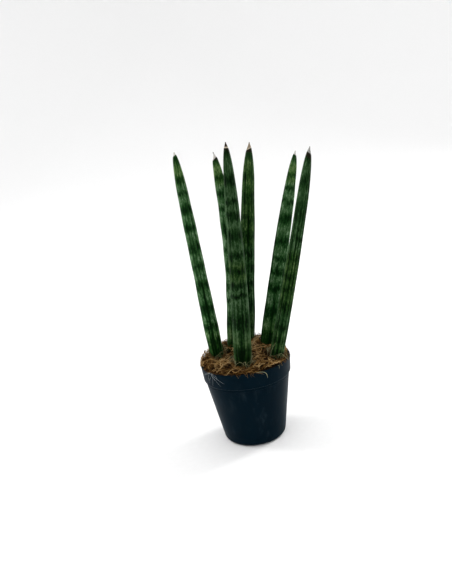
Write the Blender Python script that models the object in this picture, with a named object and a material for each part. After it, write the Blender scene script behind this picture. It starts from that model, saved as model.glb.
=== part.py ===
"""Cylindrical snake plant in its small nursery pot: six leaves, a coir mat, potting mix and the pot.

The pot's foot rests on z = 0, with its axis on z. The photo looks along +Y, with +X to the right.
"""

import math
import random

import bmesh
import bpy
from mathutils import Matrix, Vector

MM = 0.001
GAP = 0.3 * MM  # clearance that neighbouring pieces keep

# The pot, a thin straight cone with a stepped collar
POT_HEIGHT = 50.0 * MM
RIM_RADIUS = 27.5 * MM
COLLAR_HEIGHT = 9.4 * MM
COLLAR_FLARE = 0.3 * MM
COLLAR_STEP = 1.3 * MM
FOOT_RADIUS = 19.4 * MM
FOOT_ROUNDING = 3.0 * MM
LIP_ROUNDING = 0.35 * MM
WALL = 0.9 * MM
FLOOR = 1.3 * MM
POT_STEPS = 48
DRAIN_HOLES = 6
DRAIN_RADIUS = 2.3 * MM
DRAIN_CIRCLE = 11.5 * MM

# The potting mix, and the coir mat on top of it
MIX_DROP = 3.0 * MM  # from the rim down to the top of the mix
MAT_RISE = 5.4 * MM  # from the rim up to the mat's middle
MAT_REACH = 27.3 * MM  # where the mound's curve comes down to the lip
MAT_SHOULDER = 6  # a higher power gives a flatter middle and a steeper edge
MAT_RING_RADII = (27.2, 26.7, 25.8, 24.4, 22.6, 20.2, 17.2, 13.6, 9.4, 4.8)  # millimetres
MAT_STEPS = 40
STRANDS = 50
STRAND_RADIUS = 0.45 * MM
STRAND_SIDES = 3
STRAND_POINTS = 7
STRAND_SINK = 0.7 * MM
STRAND_LENGTHS = (7.0 * MM, 15.0 * MM)
COIR_SEED = 11

# What the leaves share
RIBS = 12
POINTS_PER_RIB = 2
RIB_DEPTH = 0.2 * MM
CHANNEL_DEPTH = 0.45 * MM  # of the shallow channel up the face that looks at the pot's axis
NECK_LENGTH = 0.035  # as a part of the leaf's length
END_ROUNDING = 0.62
TIP_RADIUS = 0.45 * MM
STATIONS = (0, 0.03, 0.08, 0.16, 0.26, 0.37, 0.48, 0.58, 0.67, 0.75, 0.82, 0.88, 0.93, 0.965, 0.985, 1)
STUB_LENGTH = 15.0 * MM  # below the coir's surface
STUB_STATIONS = ((1.0, 0.45), (0.93, 0.72), (0.75, 0.86), (0.35, 0.95))  # depth and girth, as parts

# Each leaf's place where it leaves the coir, its tip and its middle's bow to +X, in millimetres, then its girth,
# the part of the girth lost to taper, the power that rounds its end (high is blunt), and the neck's narrowing
LEAVES = {
    "leaf_1": ((-16.7, 1.5), (-22.5, -2.6, 176.8), 0.1, 8.7, 0.36, 8, 0.08),
    "leaf_2": ((-5.2, 11.0), (-0.9, 19.2, 174.0), 4.1, 9.0, 0.26, 8, 0.08),
    "leaf_3": ((-1.3, -15.6), (6.1, -26.6, 177.3), 1.2, 10.4, 0.43, 9, 0.20),
    "leaf_4": ((3.6, 16.3), (21.9, 26.6, 176.7), -0.6, 9.4, 0.12, 7, 0.08),
    "leaf_5": ((15.8, 8.5), (46.8, 14.1, 167.8), 0.0, 9.4, 0.20, 4.5, 0.08),
    "leaf_6": ((19.2, -8.2), (50.0, -17.1, 169.0), 0.8, 8.4, 0.30, 10, 0.10),
}


def material(name, colour, roughness):
    made = bpy.data.materials.new(name)
    made.use_nodes = True
    shader = made.node_tree.nodes["Principled BSDF"]
    shader.inputs["Base Color"].default_value = (*colour, 1.0)
    shader.inputs["Roughness"].default_value = roughness
    shader.inputs["Metallic"].default_value = 0.0
    made.diffuse_color = (*colour, 1.0)
    return made


def add_object(name, mesh, look=None):
    made = bpy.data.objects.new(name, mesh)
    bpy.context.scene.collection.objects.link(made)
    if look:
        mesh.materials.append(look)
    return made


def mesh_of(name, shape):
    """The mesh of a bmesh, facing out and shaded smooth between its sharp edges."""
    bmesh.ops.recalc_face_normals(shape, faces=shape.faces)
    if shape.calc_volume(signed=True) < 0:
        bmesh.ops.reverse_faces(shape, faces=shape.faces)
    mesh = bpy.data.meshes.new(name)
    shape.to_mesh(mesh)
    shape.free()
    mesh.shade_smooth()
    mesh.set_sharp_from_angle(angle=math.radians(40))
    return mesh


def turned_mesh(name, profile):
    """A solid of revolution about z, from a profile of (radius, height) that starts and ends on the axis."""
    shape = bmesh.new()
    points = [shape.verts.new((radius, 0.0, height)) for radius, height in profile]
    lines = [shape.edges.new(ends) for ends in zip(points, points[1:])]
    bmesh.ops.spin(
        shape, geom=points + lines, cent=(0, 0, 0), axis=(0, 0, 1), angle=math.tau, steps=POT_STEPS
    )
    bmesh.ops.remove_doubles(shape, verts=shape.verts, dist=0.001 * MM)
    return mesh_of(name, shape)


def arc(centre, radius, start, end, steps):
    """Points of an arc in a profile, between two angles in degrees."""
    angles = [math.radians(start + (end - start) * i / steps) for i in range(steps + 1)]
    return [(centre[0] + radius * math.cos(a), centre[1] + radius * math.sin(a)) for a in angles]


def skin(shape, rings):
    """Faces between rings of points, with a fan of faces to close each end."""
    loops = [[shape.verts.new(point) for point in ring] for ring in rings]
    count = len(loops[0])
    for lower, upper in zip(loops, loops[1:]):
        for i in range(count):
            j = (i + 1) % count
            shape.faces.new((lower[i], lower[j], upper[j], upper[i]))
    for loop in (loops[0], loops[-1]):
        middle = shape.verts.new(sum((point.co for point in loop), Vector()) / count)
        for i in range(count):
            shape.faces.new((loop[i], loop[(i + 1) % count], middle))


def rod_mesh(name, start, end, radius, sides):
    shape = bmesh.new()
    axis = end - start
    bmesh.ops.create_cone(
        shape, cap_ends=True, segments=sides, radius1=radius, radius2=radius, depth=axis.length
    )
    turn = axis.to_track_quat("Z", "Y").to_matrix().to_4x4()
    shape.transform(Matrix.Translation((start + end) / 2) @ turn)
    return mesh_of(name, shape)


def add_cutter(name, mesh):
    cutter = add_object(name, mesh)
    cutter.hide_render = True
    cutter.display_type = "WIRE"
    return cutter


def cut(target, cutter):
    boolean = target.modifiers.new("cut by " + cutter.name, "BOOLEAN")
    boolean.operation = "DIFFERENCE"
    boolean.object = cutter


# The pot's profile, which the potting mix follows inside

COLLAR_BOTTOM = POT_HEIGHT - COLLAR_HEIGHT
BODY_TOP_RADIUS = RIM_RADIUS - COLLAR_FLARE - COLLAR_STEP
MIX_TOP = POT_HEIGHT - MIX_DROP


def collar_inner_radius(height):
    return RIM_RADIUS - WALL - COLLAR_FLARE * (POT_HEIGHT - height) / COLLAR_HEIGHT


def pot_outside():
    """From the lip down to the middle of the foot."""
    lip = arc((RIM_RADIUS - LIP_ROUNDING, POT_HEIGHT - LIP_ROUNDING), LIP_ROUNDING, 90, 0, 3)
    collar_radius = RIM_RADIUS - COLLAR_FLARE
    collar = [
        (collar_radius, COLLAR_BOTTOM + 0.5 * MM),
        (collar_radius - 0.5 * MM, COLLAR_BOTTOM),
        (BODY_TOP_RADIUS, COLLAR_BOTTOM - 0.3 * MM),
    ]
    foot = arc((FOOT_RADIUS - FOOT_ROUNDING, FOOT_ROUNDING), FOOT_ROUNDING, 0, -90, 6)
    return lip + collar + foot + [(0.0, 0.0)]


def pot_inside(inset, top):
    """From the middle of the floor up the wall, drawn in by the inset."""
    rounding = FOOT_ROUNDING - WALL
    corner = arc((FOOT_RADIUS - FOOT_ROUNDING, FLOOR + rounding), rounding - inset, -90, 0, 4)
    step_low = (BODY_TOP_RADIUS - WALL - inset, COLLAR_BOTTOM + inset)
    step_high = (collar_inner_radius(COLLAR_BOTTOM) - inset, COLLAR_BOTTOM + WALL + inset)
    end = (collar_inner_radius(top) - inset, top)
    return [(0.0, FLOOR + inset)] + corner + [step_low, step_high, end]


def make_pot(look):
    pot = add_object("pot", turned_mesh("pot", pot_inside(0.0, POT_HEIGHT) + pot_outside()), look)
    for i in range(DRAIN_HOLES):
        turn = math.tau * (i + 0.5) / DRAIN_HOLES
        place = Vector((DRAIN_CIRCLE * math.cos(turn), DRAIN_CIRCLE * math.sin(turn), 0.0))
        reach = Vector((0.0, 0.0, 2 * FLOOR))
        name = f"drain_cutter_{i + 1}"
        cut(pot, add_cutter(name, rod_mesh(name, place - reach, place + reach, DRAIN_RADIUS, 20)))
    return pot


def make_potting_mix(look):
    mesh = turned_mesh("potting_mix", pot_inside(GAP, MIX_TOP) + [(0.0, MIX_TOP)])
    return add_object("potting_mix", mesh, look)


# The coir's surface, which also sets the height at which each leaf leaves it


def bump(x, y, place, height, width):
    distance = math.hypot(x - place[0], y - place[1])
    return height * math.exp(-0.5 * (distance / width) ** 2)


def coir_height(x, y):
    """The mound's height: a flat-topped dome, higher at the back, with three lumps and small waves."""
    fall = min(1.0, math.hypot(x, y) / MAT_REACH) ** MAT_SHOULDER
    dome = (MAT_RISE + 0.05 * y - 0.02 * x) * (1 - fall) ** 0.6
    lumps = bump(x, y, (9 * MM, 14 * MM), 1.6 * MM, 5.5 * MM)
    lumps += bump(x, y, (-12 * MM, 8 * MM), 0.5 * MM, 5.0 * MM)
    lumps -= bump(x, y, (2 * MM, -19 * MM), 0.8 * MM, 6.0 * MM)
    waves = 0.2 * MM * math.sin(x / (1.9 * MM)) * math.sin(y / (1.6 * MM))
    return POT_HEIGHT + GAP + 0.1 * MM + dome + (lumps + waves) * (1 - fall)


# The leaves


class Leaf:
    """A leaf's centre line and girth, with t from 0 at the coir to 1 at the tip."""

    def __init__(self, place, tip, bow, girth, taper, blunt, neck):
        x, y = (value * MM for value in place)
        self.foot = Vector((x, y, coir_height(x, y)))
        self.tip = Vector(tip) * MM
        self.bow = Vector((bow * MM, 0.0, 0.0))
        self.length = (self.tip - self.foot).length
        self.girth, self.taper, self.blunt, self.neck = girth * MM, taper, blunt, neck

    def centre(self, t):
        return self.foot.lerp(self.tip, t) + self.bow * 4 * t * (1 - t)

    def direction(self, t):
        return (self.tip - self.foot + self.bow * 4 * (1 - 2 * t)).normalized()

    def radius(self, t):
        neck = 1 - self.neck * math.exp(-t / NECK_LENGTH)
        end = (1 - t**self.blunt) ** END_ROUNDING
        return max(TIP_RADIUS, self.girth / 2 * (1 - self.taper * t) * end * neck)

    def below(self, depth):
        return self.foot - self.direction(0) * depth

    def ring(self, centre, direction, radius, relief, channel):
        """Points around the leaf: alternate ridges and furrows, and the channel on the inner face."""
        inward = Vector((-self.foot.x, -self.foot.y, 0.0))
        inward = (inward - direction * inward.dot(direction)).normalized()
        across = direction.cross(inward)
        points = []
        for i in range(RIBS * POINTS_PER_RIB):
            angle = math.tau * i / (RIBS * POINTS_PER_RIB)
            out = radius + relief * math.cos(RIBS * angle)
            out -= channel * max(0.0, math.cos(angle)) ** 4
            points.append(centre + (inward * math.cos(angle) + across * math.sin(angle)) * out)
        return points

    def rings(self):
        rings = []
        for depth, girth in STUB_STATIONS:
            radius = self.radius(0) * girth
            rings.append(self.ring(self.below(depth * STUB_LENGTH), self.direction(0), radius, 0.0, 0.0))
        for t in STATIONS:
            radius = self.radius(t)
            part = min(1.0, 2 * radius / self.girth)
            channel = CHANNEL_DEPTH * part * (1 - t) ** 1.5
            rings.append(self.ring(self.centre(t), self.direction(t), radius, RIB_DEPTH * part, channel))
        return rings

    def hole_radius(self):
        return self.radius(0.02) + RIB_DEPTH + GAP

    def hole_mesh(self, name):
        """The plain round hole that the buried end stands in, out through the coir."""
        start = self.below(STUB_LENGTH + GAP)
        end = self.foot + self.direction(0) * 12 * MM
        return rod_mesh(name, start, end, self.hole_radius(), 24)


def make_leaf(name, leaf, look):
    shape = bmesh.new()
    skin(shape, leaf.rings())
    return add_object(name, mesh_of(name, shape), look)


# The coir mat


def strand_path(rng):
    """A curly strand's centre line, with both ends sunk in the mound."""
    turn = rng.uniform(0, math.tau)
    radius = RIM_RADIUS * math.sqrt(rng.random())
    x, y = radius * math.cos(turn), radius * math.sin(turn)
    heading = rng.uniform(0, math.tau)
    curl = rng.uniform(-0.45, 0.45)
    step = rng.uniform(*STRAND_LENGTHS) / (STRAND_POINTS - 1)
    lift = rng.uniform(0.15, 0.5) * MM
    path = []
    for i in range(STRAND_POINTS):
        t = i / (STRAND_POINTS - 1)
        arch = lift * math.sin(math.pi * t) - STRAND_SINK * abs(2 * t - 1) ** 3
        path.append(Vector((x, y, coir_height(x, y) + arch)))
        heading += curl
        x += step * math.cos(heading)
        y += step * math.sin(heading)
    return path


def clear_of_leaves(path, leaves):
    for point in path:
        for leaf in leaves:
            direction = leaf.direction(0)
            axis_point = leaf.foot + direction * ((point.z - leaf.foot.z) / direction.z)
            if (point - axis_point).length < leaf.hole_radius() + STRAND_RADIUS + GAP:
                return False
    return True


def strand_mesh(name, path):
    rings = []
    for i, point in enumerate(path):
        along = (path[min(i + 1, len(path) - 1)] - path[max(i - 1, 0)]).normalized()
        across = along.cross(Vector((0, 0, 1))).normalized()
        over = across.cross(along)
        ring = []
        for side in range(STRAND_SIDES):
            angle = math.tau * (side / STRAND_SIDES + 0.25)
            ring.append(point + (across * math.cos(angle) + over * math.sin(angle)) * STRAND_RADIUS)
        rings.append(ring)
    shape = bmesh.new()
    skin(shape, rings)
    return mesh_of(name, shape)


def mound_mesh(name):
    """The mat's body: a disc inside the collar that spreads over the lip and rises to the mound."""

    def ring(radius, height_at):
        points = []
        for i in range(MAT_STEPS):
            angle = math.tau * i / MAT_STEPS
            x, y = radius * math.cos(angle), radius * math.sin(angle)
            points.append(Vector((x, y, height_at(x, y))))
        return points

    disc_radius = collar_inner_radius(MIX_TOP) - GAP
    rings = [ring(disc_radius, lambda x, y: MIX_TOP + GAP)]
    rings.append(ring(disc_radius, lambda x, y: POT_HEIGHT + GAP))
    rings += [ring(radius * MM, coir_height) for radius in MAT_RING_RADII]
    shape = bmesh.new()
    skin(shape, rings)
    return mesh_of(name, shape)


def keep_modified(target):
    """Applies the object's modifiers."""
    bpy.context.view_layer.update()
    graph = bpy.context.evaluated_depsgraph_get()
    mesh = bpy.data.meshes.new_from_object(target.evaluated_get(graph))
    target.modifiers.clear()
    target.data = mesh


def drop_smaller_shells(mesh):
    """Keeps the shell with the most points: strands can seal a pocket between them, which is filled by this."""
    shape = bmesh.new()
    shape.from_mesh(mesh)
    left = set(shape.verts)
    shells = []
    while left:
        shell = {left.pop()}
        edge = set(shell)
        while edge:
            edge = {line.other_vert(point) for point in edge for line in point.link_edges} - shell
            shell |= edge
        left -= shell
        shells.append(shell)
    largest = max(shells, key=len)
    bmesh.ops.delete(shape, geom=[point for point in shape.verts if point not in largest], context="VERTS")
    shape.to_mesh(mesh)
    shape.free()


def make_coir_mat(leaves, look):
    mat = add_object("coir_mat", mound_mesh("coir_mat"), look)
    loose = bpy.data.collections.new("loose strands")
    bpy.context.scene.collection.children.link(loose)
    rng = random.Random(COIR_SEED)
    while len(loose.objects) < STRANDS:
        path = strand_path(rng)
        inside = all(math.hypot(point.x, point.y) < RIM_RADIUS - 1.1 * MM for point in path)
        if inside and clear_of_leaves(path, leaves):
            name = f"strand_{len(loose.objects) + 1}"
            loose.objects.link(bpy.data.objects.new(name, strand_mesh(name, path)))
    union = mat.modifiers.new("strands", "BOOLEAN")
    union.operation = "UNION"
    union.operand_type = "COLLECTION"
    union.collection = loose
    keep_modified(mat)
    drop_smaller_shells(mat.data)
    for strand in list(loose.objects):
        bpy.data.objects.remove(strand)
    bpy.data.collections.remove(loose)
    return mat


def main():
    for old in list(bpy.data.objects):
        bpy.data.objects.remove(old)
    leaves = {name: Leaf(*shape) for name, shape in LEAVES.items()}
    make_pot(material("petrol plastic", (0.010, 0.028, 0.042), 0.45))
    potting_mix = make_potting_mix(material("dark potting mix", (0.030, 0.018, 0.011), 0.95))
    coir_mat = make_coir_mat(leaves.values(), material("brown coir", (0.230, 0.105, 0.035), 0.9))
    leaf_look = material("dark green leaf", (0.020, 0.070, 0.022), 0.45)
    for name, leaf in leaves.items():
        make_leaf(name, leaf, leaf_look)
        hole = add_cutter("hole_of_" + name, leaf.hole_mesh("hole_of_" + name))
        cut(potting_mix, hole)
        cut(coir_mat, hole)


main()
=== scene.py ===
"""Looks of a cylindrical snake plant in its nursery pot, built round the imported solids.

Sizes are in metres, with z up from the surface that the pot stands on. The photo looks along +Y.
"""

import math

import bpy
import numpy as np
from mathutils import Matrix, Vector


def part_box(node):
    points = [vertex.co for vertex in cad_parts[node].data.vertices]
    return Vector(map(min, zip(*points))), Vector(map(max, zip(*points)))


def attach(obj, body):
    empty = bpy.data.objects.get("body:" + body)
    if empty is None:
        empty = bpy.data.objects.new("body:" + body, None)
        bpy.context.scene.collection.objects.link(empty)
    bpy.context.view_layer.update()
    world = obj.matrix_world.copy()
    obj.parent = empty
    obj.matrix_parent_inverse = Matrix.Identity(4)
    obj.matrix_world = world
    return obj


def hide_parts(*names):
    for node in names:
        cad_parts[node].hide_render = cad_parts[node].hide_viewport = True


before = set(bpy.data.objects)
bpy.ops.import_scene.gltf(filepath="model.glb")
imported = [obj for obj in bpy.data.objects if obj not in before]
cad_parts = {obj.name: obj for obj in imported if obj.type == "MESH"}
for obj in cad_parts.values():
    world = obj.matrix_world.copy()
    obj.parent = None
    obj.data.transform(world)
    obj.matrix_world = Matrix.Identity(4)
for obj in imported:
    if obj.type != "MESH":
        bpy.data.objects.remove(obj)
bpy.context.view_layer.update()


# The pot: one thin skin of petrol-blue polypropylene, injection moulded, with a stepped collar that stiffens
# its rim and six drain holes. It's drawn as one profile carried round the axis, and the holes are then cut.

mm = 0.001
pot_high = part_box("pot")[1]
pot_height = pot_high.z
rim_radius = pot_high.x
collar_height = 9.4 * mm
collar_flare = 0.7 * mm
collar_step = 0.9 * mm
foot_radius = 19.4 * mm
foot_rounding = 3.0 * mm
pot_wall = 0.9 * mm
pot_floor = 1.3 * mm
lip_rounding = 0.42 * mm
inner_lip_rounding = 0.3 * mm
shoulder_rounding = 0.45 * mm
step_rounding = 0.3 * mm
bead_drop = 1.5 * mm  # how far a fine moulded line runs below the collar
bead_rounding = 0.3 * mm
bead_height = 0.12 * mm
middle_ring = 0.5 * mm  # the smallest ring, which a fan of triangles fills
pot_columns = 192
drain_count = 6
drain_circle = 11.5 * mm
drain_radius = 2.3 * mm
petrol_dark = (0.0002, 0.0052, 0.0100, 1)
petrol_scuffed = (0.0300, 0.0450, 0.0530, 1)
petrol_sheen = (0.48, 0.68, 0.80, 1)


def arc(centre, radius, start, end, steps):
    """Points (radius, height) of an arc: centre plus radius times (cos, sin) of angles in degrees."""
    angles = np.radians(np.linspace(start, end, steps))
    return np.array(centre) + radius * np.stack([np.cos(angles), np.sin(angles)], axis=1)


def straight(start, end, steps):
    """Points along a line, with both ends left out."""
    return start + np.subtract(end, start) * np.linspace(0, 1, steps + 2)[1:-1, None]


def carried_round(profile, columns):
    """A profile turned round z: x = radius cos(angle), y = radius sin(angle), z = height, on a grid."""
    angles = np.linspace(0, math.tau, columns, endpoint=False)
    grid = np.empty((len(profile), columns, 3))
    grid[..., 0] = profile[:, :1] * np.cos(angles)
    grid[..., 1] = profile[:, :1] * np.sin(angles)
    grid[..., 2] = profile[:, 1:]
    return grid


def mesh_from(name, points, faces):
    """A mesh from an array of points and a list of arrays of corner numbers, one array for each face size."""
    mesh = bpy.data.meshes.new(name)
    corners = np.concatenate([group.ravel() for group in faces])
    sizes = np.concatenate([np.full(len(group), group.shape[1]) for group in faces])
    starts = np.concatenate([[0], np.cumsum(sizes)[:-1]])
    mesh.vertices.add(len(points))
    mesh.vertices.foreach_set("co", np.ascontiguousarray(points, np.float32).ravel())
    mesh.loops.add(len(corners))
    mesh.loops.foreach_set("vertex_index", corners.astype(np.int32))
    mesh.polygons.add(len(sizes))
    mesh.polygons.foreach_set("loop_start", starts.astype(np.int32))
    mesh.update(calc_edges=True)
    mesh.shade_smooth()
    return mesh


def strips(corners):
    """Quads between the rows of a grid of corner numbers. Each row runs round, so its end joins its start."""
    beside = np.roll(corners, -1, axis=-1)
    ring = [corners[..., :-1, :], beside[..., :-1, :], beside[..., 1:, :], corners[..., 1:, :]]
    return np.stack(ring, axis=-1).reshape(-1, 4)


def closed_skin(name, grid):
    """Quads between a grid's rows, and a fan of triangles to a point in the middle of each end."""
    rows, columns = grid.shape[:2]
    corners = np.arange(rows * columns).reshape(rows, columns)
    beside = np.roll(corners, -1, axis=1)
    first = np.full(columns, rows * columns)
    first_fan = np.stack([first, beside[0], corners[0]], axis=1)
    last_fan = np.stack([corners[-1], beside[-1], first + 1], axis=1)
    points = np.concatenate([grid.reshape(-1, 3), [grid[0].mean(axis=0), grid[-1].mean(axis=0)]])
    return mesh_from(name, points, [strips(corners), np.concatenate([first_fan, last_fan])])


def add_piece(name, mesh, finish):
    piece = bpy.data.objects.new(name, mesh)
    bpy.context.scene.collection.objects.link(piece)
    piece.data.materials.append(finish)
    return piece


class Finish:
    """A Principled material, with short ways to add and wire its nodes."""

    def __init__(self, name):
        self.material = bpy.data.materials.new(name)
        self.material.use_nodes = True
        self.tree = self.material.node_tree
        self.shader = self.tree.nodes["Principled BSDF"]
        self.object_space = self.add("TexCoord").outputs["Object"]

    def feed(self, socket, value):
        """A number, colour or vector is set on the socket, and a node's output is wired to it."""
        if isinstance(value, (int, float, tuple)):
            socket.default_value = value
        else:
            self.tree.links.new(value, socket)

    def add(self, kind, **inputs):
        node = self.tree.nodes.new("ShaderNode" + kind)
        for name, value in inputs.items():
            self.feed(node.inputs[name], value)
        return node

    def set(self, **values):
        """Sets the shader's own sockets: specular_ior_level sets Specular IOR Level."""
        for name, value in values.items():
            socket = name.replace("_", " ").title().replace("Ior", "IOR")
            self.shader.inputs[socket].default_value = value

    def stretched(self, vector, scale):
        return self.add("Mapping", Vector=vector, Scale=scale).outputs["Vector"]

    def moved(self, vector, shift):
        return self.add("Mapping", Vector=vector, Location=shift).outputs["Vector"]

    def noise(self, vector, scale, detail=3.0, roughness=0.55, distortion=0.0):
        settings = dict(Scale=scale, Detail=detail, Roughness=roughness, Distortion=distortion)
        return self.add("TexNoise", Vector=vector, **settings).outputs["Fac"]

    def math(self, operation, a, b, clamp=False):
        node = self.add("Math")
        node.operation = operation
        node.use_clamp = clamp
        self.feed(node.inputs[0], a)
        self.feed(node.inputs[1], b)
        return node.outputs["Value"]

    def spread(self, value, amount):
        """The value less a half, times the amount."""
        return self.math("MULTIPLY", self.math("SUBTRACT", value, 0.5), amount)

    def ramp(self, factor, stops, smooth="LINEAR"):
        """Colour stops as (place, grey) or (place, colour)."""
        node = self.add("ValToRGB", Fac=factor)
        node.color_ramp.interpolation = smooth
        while len(node.color_ramp.elements) < len(stops):
            node.color_ramp.elements.new(0.5)
        for element, (place, colour) in zip(node.color_ramp.elements, stops):
            element.position = place
            element.color = colour if isinstance(colour, tuple) else (colour, colour, colour, 1)
        return node.outputs["Color"]

    def mix(self, factor, a, b, blend="MIX"):
        node = self.add("Mix")
        node.data_type = "RGBA"
        node.blend_type = blend
        for number, value in ((0, factor), (6, a), (7, b)):
            self.feed(node.inputs[number], value)
        return node.outputs[2]

    def bump(self, height, strength, distance, under=None):
        node = self.add("Bump", Height=height, Strength=strength, Distance=distance)
        if under:
            self.feed(node.inputs["Normal"], under)
        return node.outputs["Normal"]

    def attribute(self, name):
        node = self.add("Attribute")
        node.attribute_name = name
        return node

    def done(self, colour, roughness=None, normal=None):
        """Wires what is given to the shader."""
        for name, source in (("Base Color", colour), ("Roughness", roughness), ("Normal", normal)):
            if source:
                self.feed(self.shader.inputs[name], source)
        return self.material


def pot_profile():
    """From the middle of the underside up the outside, over the lip, and down the inside to the floor."""
    collar_bottom = pot_height - collar_height
    collar_radius = rim_radius - collar_flare
    body_top = collar_radius - collar_step
    foot_centre = (foot_radius - foot_rounding, foot_rounding)
    underside = straight((middle_ring, 0.0), (foot_centre[0], 0.0), 12)
    foot = arc(foot_centre, foot_rounding, -90, -8, 14)
    under_collar = collar_bottom - step_rounding
    bead_at = under_collar - bead_drop
    bead_radius = foot_radius + (body_top - foot_radius) * bead_at / under_collar
    body = straight(foot[-1], (bead_radius, bead_at - 0.5 * mm), 24)
    bead = arc((bead_radius - bead_rounding + bead_height, bead_at), bead_rounding, -60, 60, 7)
    step = arc((body_top + step_rounding, under_collar - 0.25 * mm), step_rounding, 170, 100, 5)
    shoulder_centre = (collar_radius - shoulder_rounding, collar_bottom + 0.35 * mm)
    shoulder = arc(shoulder_centre, shoulder_rounding, -85, 0, 7)
    lip_centre = (rim_radius - lip_rounding, pot_height - lip_rounding)
    collar = straight(shoulder[-1], (rim_radius, lip_centre[1]), 12)
    lip = arc(lip_centre, lip_rounding, 0, 90, 7)
    inner_lip_centre = (rim_radius - pot_wall + inner_lip_rounding, pot_height - inner_lip_rounding)
    inner_lip = arc(inner_lip_centre, inner_lip_rounding, 90, 180, 5)
    inner_collar = np.array([(collar_radius - pot_wall, collar_bottom + pot_wall)])
    inner_top = np.array([(body_top - pot_wall, collar_bottom)])
    inner_rounding = foot_rounding - pot_wall
    inner_foot = arc((foot_centre[0], pot_floor + inner_rounding), inner_rounding, 0, -90, 8)
    inner_body = straight(inner_top[0], inner_foot[0], 16)
    floor = straight((foot_centre[0], pot_floor), (middle_ring, pot_floor), 12)
    outside = (underside, foot, body, bead, step, shoulder, collar, lip)
    inside = (inner_lip, inner_collar, inner_top, inner_body, inner_foot, floor)
    return np.concatenate(outside + inside)


def cut_through(piece, tools):
    """Takes each tool's solid out of the piece, keeps the result as its mesh and deletes the tools."""
    for tool_mesh in tools:
        tool = bpy.data.objects.new("tool", tool_mesh)
        bpy.context.scene.collection.objects.link(tool)
        hole = piece.modifiers.new("hole", "BOOLEAN")
        hole.operation = "DIFFERENCE"
        hole.object = tool
        bpy.context.view_layer.update()
        graph = bpy.context.evaluated_depsgraph_get()
        mesh = bpy.data.meshes.new_from_object(piece.evaluated_get(graph))
        piece.modifiers.clear()
        piece.data = mesh
        bpy.data.objects.remove(tool)
    piece.data.shade_smooth()
    piece.data.set_sharp_from_angle(angle=math.radians(40))


pot_mesh = closed_skin("nursery_pot", carried_round(pot_profile(), pot_columns))
drain_profile = np.array(
    [(0.01 * mm, -1 * mm), (drain_radius, -1 * mm), (drain_radius, 3 * mm), (0.01 * mm, 3 * mm)]
)
drain_tools = []
for number in range(drain_count):
    turn = math.tau * (number + 0.5) / drain_count
    place = (drain_circle * math.cos(turn), drain_circle * math.sin(turn), 0)
    drain_tools.append(closed_skin("drain_tool", carried_round(drain_profile, 40) + place))

plastic = Finish("petrol_plastic")
plastic.set(specular_ior_level=0.020, sheen_weight=0.03, sheen_roughness=0.35, sheen_tint=petrol_sheen)
on_pot = plastic.object_space
scuffs = plastic.noise(plastic.stretched(on_pot, (1, 1, 0.35)), 260, detail=6, roughness=0.7)
scuffs = plastic.ramp(scuffs, [(0.52, 0.0), (0.78, 1.0)])
clouds = plastic.noise(on_pot, 55, detail=4)
film = plastic.math("MULTIPLY", plastic.ramp(clouds, [(0.4, 0.02), (0.75, 0.42)]), scuffs)
petrol_colour = plastic.mix(film, petrol_dark, petrol_scuffed)
petrol_rough = plastic.ramp(clouds, [(0.3, 0.36), (0.7, 0.48)])
grain = plastic.noise(on_pot, 2600, detail=2)
waves = plastic.noise(plastic.stretched(on_pot, (1, 1, 0.25)), 120, detail=2)
petrol_normal = plastic.bump(grain, 0.12, 0.05 * mm)
petrol_normal = plastic.bump(waves, 0.25, 0.15 * mm, under=petrol_normal)

nursery_pot = add_piece("nursery_pot", pot_mesh, plastic.done(petrol_colour, petrol_rough, petrol_normal))
cut_through(nursery_pot, drain_tools)
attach(nursery_pot, "root")
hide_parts("pot")


# The potting mix: dark, moist and crumbly, packed into the pot. It's hidden but for the drain holes, so the
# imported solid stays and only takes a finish.

moist_mix = Finish("moist_potting_mix")
moist_mix.set(specular_ior_level=0.2, roughness=0.9)
crumbs = moist_mix.noise(moist_mix.object_space, 900, detail=6, roughness=0.7)
mix_colour = moist_mix.ramp(crumbs, [(0.35, (0.008, 0.005, 0.003, 1)), (0.7, (0.060, 0.036, 0.020, 1))])
mix_normal = moist_mix.bump(crumbs, 0.9, 0.6 * mm)
packed_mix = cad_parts["potting_mix"].data
packed_mix.materials.clear()
packed_mix.materials.append(moist_mix.done(mix_colour, normal=mix_normal))


# The leaves: six stiff, round leaves, each a waxy skin over firm flesh, with a dozen shallow furrows, pale
# ragged cross-bands and a dry, papery point. Each grew up from the root under the coir and leans outwards.

rib_count = 12
rib_depth = 0.2 * mm
channel_depth = 0.45 * mm
ridge_height = 0.15 * mm
ridge_fade = 2 * mm
neck_length = 0.035  # of the leaf's length
end_rounding = 0.62
tip_radius = 0.45 * mm
thinnest_point = 0.26 * mm
crumple_height = 0.12 * mm
crumple_step = 0.35 * mm
buried = 7.0 * mm
leaf_columns = 120
leaf_rows = 200
buried_rows = 8
row_crowding = 1.15  # towards the tip
mat_rise = 5.4 * mm
mat_reach = 27.3 * mm

# Each leaf's foot, tip, bow and girth in millimetres, the share that it tapers by, how blunt its end is, and
# the share that its neck is narrower by
leaf_sizes = {
    "leaf_1": ((-16.6, 1.5), (-22.6, -2.6, 176.8), 0.0, 9.35, 0.385, 12, 0.08),
    "leaf_2": ((-5.4, 11.0), (-1.0, 19.2, 174.0), 3.8, 9.2, 0.26, 8, 0.08),
    "leaf_3": ((-1.3, -15.6), (6.0, -26.6, 177.3), 1.0, 10.4, 0.43, 9, 0.20),
    "leaf_4": ((3.6, 16.3), (21.4, 26.6, 176.7), -0.6, 9.4, 0.12, 7, 0.08),
    "leaf_5": ((15.8, 8.5), (46.8, 14.1, 167.8), -0.2, 9.6, 0.22, 5.2, 0.08),
    "leaf_6": ((19.2, -8.2), (50.2, -17.1, 169.0), 0.9, 8.75, 0.33, 10, 0.10),
}

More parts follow.
